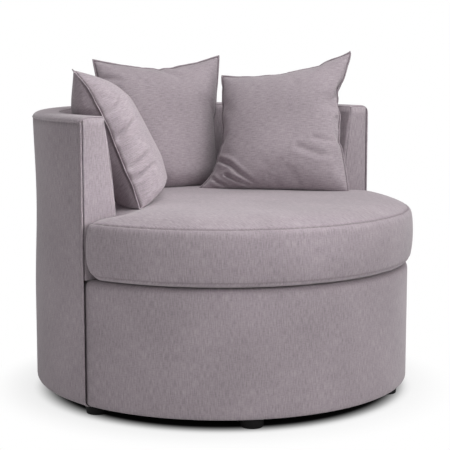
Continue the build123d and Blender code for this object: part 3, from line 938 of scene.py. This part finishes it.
class ArmchairScatterCushions(bpy.types.Operator):
    """Scatter cushions: two squares of fabric sewn at the edge, blown up, slumped and set in place"""

    bl_idname = "armchair.scatter_cushions"
    bl_label = "Scatter cushions"

    # Half side of a square of fabric before it is filled, as a share of the cushion's side
    blank_share = 0.54
    # Room between a cushion and the seat
    seat_gap = 0.0005
    # Half depth of the square before it is filled, and the height and closeness of its ripples
    start_depth, ripple, ripple_turns = 0.02, 0.004, 14
    # Share of the crown that keeps the form the filling gave
    blown_share = 0.35
    # Height of the crown above which a fold is at its full depth
    fold_rise = 0.02
    # Reach of the stitch line's painted shade, how far the flange starts inside it, and its waves
    stitch_width, flange_lap, wave, wave_turns = 0.003, 0.002, 0.0035, 26
    # Share of the flange left beside the zip, and how far that runs past the zip
    bare_share, bare_run = 0.15, 0.012
    # How each corner of a cushion has slumped, as (right, back, up) in metres on the cushion itself:
    # upper left, upper right, lower right, lower left.
    slump = {
        "left": ((0, 0, -0.006), (-0.02, 0.01, -0.03), (0, 0, 0), (0, 0.004, 0)),
        "middle": ((-0.006, 0, -0.010), (0.006, 0, 0.003), (-0.052, 0.02, 0), (0, 0, 0)),
        "right": ((0.012, 0, -0.036), (-0.010, 0, 0.040), (0.014, 0, 0), (0.018, 0, 0)),
    }
    # How far the lower left corner stands out to the right and to the back as an ear.
    ears = {"left": (0.0, 0.012), "middle": (0.0, 0.0), "right": (-0.042, 0.0)}
    # How far the left seam bows towards the front above its middle.
    bows = {"left": 0.016, "middle": 0.0, "right": 0.0}
    # Scale of the front and the back crown, then the share kept of each side's pull between its corners:
    # left, right, top, bottom.
    crowns = {"left": (1.15, 1.12), "middle": (1.05, 0.85), "right": (1.0, 1.05)}
    pulls = {"left": (0.5, 0.3, 0.4, 0.4), "middle": (0.2, 0.15, 0.3, 0.65), "right": (0.5, 0.8, 0.15, 0.8)}
    # How far the top seam dips between its corners.
    dips = {"left": 0.0, "middle": 0.019, "right": 0.021}
    # Levels, as shares of the half height, between which the front and the back stay full, and the drop of
    # the lower half of the front and of the back as the filling settles.
    back_levels = (-0.85, 0.15)
    levels = {"left": (-0.85, 0.28), "middle": (-0.65, 0.15), "right": (-0.35, 0.15)}
    sags = {"left": (0.006, 0.045), "middle": (0.035, 0.02), "right": (0.032, 0.02)}
    # Folds in each front face: a line on the flat cushion, then its depth and half width.
    folds = {
        "left": (
            (((-0.18, 0.055), (-0.14, 0.06), (-0.09, 0.075)), 0.008, 0.010),
            (((-0.18, -0.01), (-0.14, 0.0), (-0.08, 0.02)), 0.012, 0.011),
            (((-0.18, -0.085), (-0.14, -0.08), (-0.09, -0.07)), 0.012, 0.009),
            (((-0.18, -0.115), (-0.14, -0.105), (-0.10, -0.10)), 0.008, 0.007),
        ),
        "middle": (
            (((-0.18, 0.13), (-0.12, 0.115)), 0.005, 0.009),
            (((0.0, 0.175), (0.04, 0.12)), 0.003, 0.012),
        ),
        "right": (
            (((-0.178, -0.095), (-0.13, -0.112), (-0.1, -0.14), (-0.055, -0.182)), 0.010, 0.0065),
            (((-0.14, -0.142), (-0.12, -0.155), (-0.095, -0.168), (-0.06, -0.186)), 0.008, 0.0048),
            (((-0.178, -0.150), (-0.15, -0.170), (-0.13, -0.186)), 0.007, 0.0045),
            (((0.05, -0.075), (0.11, -0.095), (0.17, -0.098)), 0.004, 0.008),
            (((0.09, -0.055), (0.17, -0.068)), 0.003, 0.006),
        ),
    }

    def execute(self, context):
        fabric = woven_fabric("linen-look weave, cushions", True)
        for number, (name, (middle, turn, lean)) in enumerate(SCATTER_PLACES.items()):
            bm = self.filled(number)
            self.fit(bm, name)
            self.hem(bm, number)
            place = Matrix.Translation(middle) @ Matrix.Rotation(radians(turn), 4, "Z")
            place = place @ Matrix.Rotation(radians(lean), 4, "X")
            bmesh.ops.transform(bm, matrix=place, verts=bm.verts)
            floor = settings().seat.top + self.seat_gap
            for vert in bm.verts:
                vert.co.z = max(vert.co.z, floor)
            bm.normal_update()
            nodes = (f"scatter_{name}_cover", f"scatter_{name}_insert")
            body = f"scatter_{name}"
            piece = new_piece(f"{body}_pad", bm, fabric, body, nodes)
        return {"FINISHED"}

    def filled(self, number):
        """A sewn square after it is filled, lying upright in the XZ plane with its front at -Y."""
        q = settings().scatter
        bm = bmesh.new()
        start = q.side * self.blank_share
        bmesh.ops.create_grid(bm, x_segments=q.cells, y_segments=q.cells, size=start)
        bmesh.ops.transform(bm, matrix=Matrix.Rotation(pi / 2, 4, "X"), verts=bm.verts)
        bmesh.ops.reverse_faces(bm, faces=[face for face in bm.faces if face.normal.y > 0])
        lay_cloth(bm, panel_cloth)
        rear = bmesh.ops.duplicate(bm, geom=everything(bm))["geom"]
        rear_verts = set(only(bmesh.types.BMVert, rear))
        bmesh.ops.reverse_faces(bm, faces=only(bmesh.types.BMFace, rear))
        turns = self.ripple_turns
        for vert in bm.verts:
            x, y, z = vert.co
            rise = max(0.0, (1 - (x / start) ** 2) * (1 - (z / start) ** 2)) ** 0.5
            ripple = self.ripple * noise.noise(Vector((x * turns, z * turns, 3.7 * number)))
            side = 1 if vert in rear_verts else -1
            vert.co.y = side * rise * (self.start_depth + ripple)
        bmesh.ops.remove_doubles(bm, verts=bm.verts, dist=1e-6)
        mesh = kept("scatter_blank", bm)
        points = fill_cloth(mesh.copy(), pressure=5.0, stiffness=20.0, bending=0.15, frames=28)
        for vert, point in zip(mesh.vertices, points):
            vert.co = point
        return opened(halved(mesh))

    def belly(self, across, up, low, high):
        """Share of the crown at a point of the flat cushion, full between two levels."""
        if up > high:
            share = (1 - ((up - high) / (1 - high)) ** 2) ** 0.75
        elif up < low:
            share = (1 - ((low - up) / (1 + low)) ** 2) ** 0.62
        else:
            share = 1.0
        return share * (1 - abs(across) ** 2.6) ** 0.7

    def fit(self, bm, name):
        """Scales a filled square to the cushion's size, folds its front face and slumps its corners."""
        q = settings().scatter
        half, start = q.side / 2 - q.flange, q.side * self.blank_share
        cloth = bm.loops.layers.uv["cloth"]
        wide = max(abs(vert.co.x) for vert in bm.verts)
        high = max(abs(vert.co.z) for vert in bm.verts)
        deep = max(abs(vert.co.y) for vert in bm.verts)
        left, right, top, bottom = self.pulls[name]
        for vert in bm.verts:
            x, y, z = vert.co
            flat = vert.link_loops[0][cloth].uv / start
            across, up = clamp(flat.x, -1.0), clamp(flat.y, -1.0)
            x = (across + (x / wide - across) * (left if across < 0 else right)) * half
            z = (up + (z / high - up) * (top if up > 0 else bottom * (1 - 0.95 * up**2))) * half
            belly = self.belly(across, up, *(self.levels[name] if y < 0 else self.back_levels))
            blown = (abs(y) / deep) ** q.fullness
            rise = q.depth * (self.blown_share * blown + (1 - self.blown_share) * belly)
            z -= self.sags[name][0 if y < 0 else 1] * belly * max(0.0, -up)
            z -= self.dips[name] * (1 - across**2) * max(0.0, up) ** 2
            if y < 0:
                y = -rise * self.crowns[name][0]
                for line, depth, width in self.folds[name]:
                    y += depth * self.furrow(flat * half, line, width) * min(1.0, rise / self.fold_rise)
            else:
                y = rise * self.crowns[name][1]
            right_share, up_share = (across + 1) / 2, (up + 1) / 2
            shares = (
                (1 - right_share) * up_share,
                right_share * up_share,
                right_share * (1 - up_share),
                (1 - right_share) * (1 - up_share),
            )
            y -= self.bows[name] * (1 - right_share) ** 2 * (1 - up**2) * (up + 0.5)
            ear = shares[3] ** 10
            vert.co = (x + self.ears[name][0] * ear, y + self.ears[name][1] * ear, z)
            for share, shift in zip(shares, self.slump[name]):
                vert.co += Vector(shift) * share

    def furrow(self, point, line, width):
        """Profile of a fold at a point: a furrow between two low ridges that fades at its end."""
        near = []
        for place, (begin, end) in enumerate(zip(line, line[1:])):
            begin, run = Vector(begin), Vector(end) - Vector(begin)
            along = clamp((point - begin).dot(run) / run.length_squared)
            near.append(((point - begin - run * along).length / width, place + along))
        away, passed = min(near)
        fade = 1 - (passed / (len(line) - 1)) ** 3
        return fade * (exp(-(away**2)) - 0.45 * exp(-((away - 1.7) ** 2)))

    def hem(self, bm, number):
        """Sews a narrow double flange on outside the seam and paints shade along the stitch line."""
        q = settings().scatter
        start, turns = q.side * self.blank_share, self.wave_turns
        cloth = bm.loops.layers.uv["cloth"]
        stitch = bm.verts.layers.float.new("seam")
        sewn = {}
        for vert in bm.verts:
            flat = vert.link_loops[0][cloth].uv.copy()
            edge = max(abs(flat.x), abs(flat.y))
            # Painted shade that fades away from the stitch line.
            vert[stitch] = max(0.0, 1 - (start - edge) / self.stitch_width)
            if edge > start - 1e-5:
                sewn[vert] = flat
        loop = sorted(sewn, key=lambda vert: atan2(sewn[vert].y, sewn[vert].x))
        rings = []
        for place, vert in enumerate(loop):
            before, after = loop[place - 1].co, loop[(place + 1) % len(loop)].co
            sides = ((before, vert.co), (vert.co, after))
            ways = [Vector((b.z - a.z, 0, a.x - b.x)).normalized() for a, b in sides]
            out = (ways[0] + ways[1]).normalized()
            out /= max(0.6, out.dot(ways[0]))
            flat = sewn[vert]
            bare_end = start * (q.zip_length / 2 + self.bare_run)
            bare = flat.y < -start + 1e-5 and abs(flat.x) * q.side / 2 < bare_end
            width = q.flange * (self.bare_share if bare else 1.0)
            wave = self.wave * noise.noise(Vector((vert.co.x * turns, vert.co.z * turns, 5.1 * number)))
            inner, outer = vert.co - out * self.flange_lap, vert.co + out * width
            thick, sway = Vector((0, q.flange_thickness / 2, 0)), Vector((0, wave, 0))
            corners = (inner - thick, outer - thick + sway, outer + thick + sway, inner + thick)
            ring = [bm.verts.new(corner) for corner in corners]
            # The flange's inner edge along the stitch line takes the painted shade as well.
            for corner, mark in zip(ring, (1.0, 0.0, 0.0, 1.0)):
                corner[stitch] = mark
            rings.append((ring, flat))
        for (near, flat), (far, next_flat) in zip(rings, rings[1:] + rings[:1]):
            for a, b in ((0, 1), (1, 2), (2, 3), (3, 0)):
                face = bm.faces.new((near[a], near[b], far[b], far[a]))
                face.smooth = True
                for corner, uv in zip(face.loops, (flat, flat * 1.03, next_flat * 1.03, next_flat)):
                    corner[cloth].uv = uv
        bmesh.ops.recalc_face_normals(bm, faces=bm.faces)


# Finishes and stage
class ArmchairFrameFinish(bpy.types.Operator):
    """Finishes of the feet, fasteners, zips and hidden frame that keep their CAD shape"""

    bl_idname = "armchair.frame_finish"
    bl_label = "Frame finishes"

    def execute(self, context):
        finishes = frame_materials()
        finishes["chair_fabric"] = woven_fabric("linen-look weave", False)
        finishes["scatter_fabric"] = woven_fabric("linen-look weave, cushions", True)
        for part in frame["record"]["subparts"]:
            mesh = frame["nodes"][part["node"]].data
            mesh.materials.clear()
            mesh.materials.append(finishes[part["material_slot"]])
        return {"FINISHED"}


class ArmchairStage(bpy.types.Operator):
    """Pale floor, soft lights, white surroundings and the camera"""

    bl_idname = "armchair.stage"
    bl_label = "Stage"

    # Size of each light, its place, the point it shines at and its spread
    lights = {
        "front": (1.6, (0.4, -2.6, 1.0), (0, 0, 0.4), pi),
        "left": (0.9, (-2.4, -0.6, 0.3), (0, 0, 0.3), pi),
        "right": (1.4, (1.6, -0.6, 2.2), (0, 0, 0.4), pi),
        "top": (1.6, (0.1, -0.9, 2.6), (0, 0, 0.4), pi),
        "arm": (0.3, (0.5, -2.2, 1.5), (-0.38, -0.04, 0.55), radians(23)),
        "rear": (1.8, (-0.4, 2.6, 1.7), (0, 0, 0.4), pi),
    }
    # Distances from the axis over which the floor clears from its painted shadow to white, and the share that
    # each step adds
    clearings = ((0.425, 0.495, 0.8), (0.46, 0.62, 0.2))

    def execute(self, context):
        g = settings().stage
        scene = context.scene
        scene.view_settings.view_transform = "Standard"
        self.floor(g)
        self.room(g)
        for name, (size, place, target, spread) in self.lights.items():
            lamp = bpy.data.lights.new(f"{name}_light", "AREA")
            lamp.energy, lamp.size, lamp.spread = getattr(g, name), size, spread
            holder = new_object(f"{name}_light", lamp)
            holder.location = place
            aim = Vector(target) - Vector(place)
            holder.rotation_euler = aim.to_track_quat("-Z", "Y").to_euler()
        lens = bpy.data.cameras.new("camera")
        lens.sensor_width = 36.0
        lens.lens = g.lens
        camera = new_object("camera", lens)
        camera.location = g.camera
        camera.rotation_euler = Vector(g.aim).to_track_quat("-Z", "Y").to_euler()
        scene.camera = camera
        return {"FINISHED"}

    def seen(self, tree):
        """Share of a ray that the eye sees: straight, mirrored or through something clear."""
        path = add_node(tree, "ShaderNodeLightPath")
        share = path.outputs["Is Camera Ray"]
        for other in ("Is Glossy Ray", "Is Transmission Ray"):
            rays = {0: share, 1: path.outputs[other]}
            share = add_node(tree, "ShaderNodeMath", {"operation": "MAXIMUM"}, rays).outputs[0]
        return share

    def floor(self, g):
        """Matt pale floor with a painted shadow under the chair; the camera sees it as white away from the
        chair.
        """
        bm = bmesh.new()
        bmesh.ops.create_grid(bm, x_segments=8, y_segments=8, size=9.0)
        mesh = kept("floor", bm)
        floor = new_object("floor", mesh)
        # Floor: an even matt face that shows no grain, with a painted shadow in a dark disc under the chair.
        material = bpy.data.materials.new("painted floor")
        material.use_nodes = True
        tree = material.node_tree
        tree.nodes.clear()
        white = add_node(tree, "ShaderNodeEmission", inputs={"Color": (1, 1, 1, 1), "Strength": 1.0})
        place = add_node(tree, "ShaderNodeTexCoord").outputs["Object"]
        reach = add_node(tree, "ShaderNodeVectorMath", {"operation": "LENGTH"}, {0: place}).outputs["Value"]
        clear = []
        for near, far, most in self.clearings:
            ends = {"Value": reach, "From Min": near, "From Max": far, "To Max": most}
            smooth = {"interpolation_type": "SMOOTHSTEP"}
            clear.append(add_node(tree, "ShaderNodeMapRange", smooth, ends).outputs[0])
        # Painted shadow: under the chair the floor's colour turns to the dark floor shade.
        tone = add_node(tree, "ShaderNodeMix", MIXED, {0: clear[0], MIX_A: g.shade, MIX_B: g.floor})
        matt = add_node(tree, "ShaderNodeBsdfDiffuse", inputs={"Color": tone.outputs[MIX_RESULT]})
        bright = add_node(tree, "ShaderNodeMath", {"operation": "ADD"}, {0: clear[0], 1: clear[1]}).outputs[0]
        shares = {0: self.seen(tree), 1: bright}
        share = add_node(tree, "ShaderNodeMath", {"operation": "MULTIPLY"}, shares).outputs[0]
        ends = {0: share, 1: matt.outputs[0], 2: white.outputs[0]}
        mixed = add_node(tree, "ShaderNodeMixShader", inputs=ends)
        add_node(tree, "ShaderNodeOutputMaterial", inputs={"Surface": mixed.outputs[0]})
        mesh.materials.append(material)

    def room(self, g):
        """Soft light from all round, seen as white by the camera."""
        world = bpy.data.worlds.new("room")
        bpy.context.scene.world = world
        world.use_nodes = True
        tree = world.node_tree
        tree.nodes.clear()
        shades = []
        for strength in (g.room, 1.0):
            glow = {"Color": (1, 1, 1, 1), "Strength": strength}
            shades.append(add_node(tree, "ShaderNodeBackground", inputs=glow).outputs[0])
        ends = {0: self.seen(tree), 1: shades[0], 2: shades[1]}
        mixed = add_node(tree, "ShaderNodeMixShader", inputs=ends)
        add_node(tree, "ShaderNodeOutputWorld", inputs={"Surface": mixed.outputs[0]})


# Add-on
STEPS = (
    ArmchairFrameFinish,
    ArmchairOutsideCover,
    ArmchairTopBand,
    ArmchairInsideCover,
    ArmchairArmPanels,
    ArmchairWelt,
    ArmchairBaseFront,
    ArmchairDeckAndDustCloth,
    ArmchairSeatCushion,
    ArmchairScatterCushions,
    ArmchairStage,
)


class ArmchairPanel(bpy.types.Panel):
    """Lists the armchair's pieces in the order they are made"""

    bl_idname = "VIEW3D_PT_armchair"
    bl_label = "Round Armchair"
    bl_space_type = "VIEW_3D"
    bl_region_type = "UI"
    bl_category = "Armchair"

    def draw(self, context):
        for step in STEPS:
            self.layout.operator(step.bl_idname)


CLASSES = (
    ShellSizes,
    SeatSizes,
    ScatterSizes,
    FabricColours,
    StageSettings,
    ArmchairSettings,
    *STEPS,
    ArmchairPanel,
)


def register():
    for each in CLASSES:
        bpy.utils.register_class(each)
    bpy.types.Scene.armchair = PointerProperty(type=ArmchairSettings)


def unregister():
    del bpy.types.Scene.armchair
    for each in reversed(CLASSES):
        bpy.utils.unregister_class(each)


def main():
    """Makes the armchair around its CAD frame."""
    register()
    for step in STEPS:
        group, call = step.bl_idname.split(".")
        getattr(getattr(bpy.ops, group), call)()


if __name__ == "__main__":
    main()
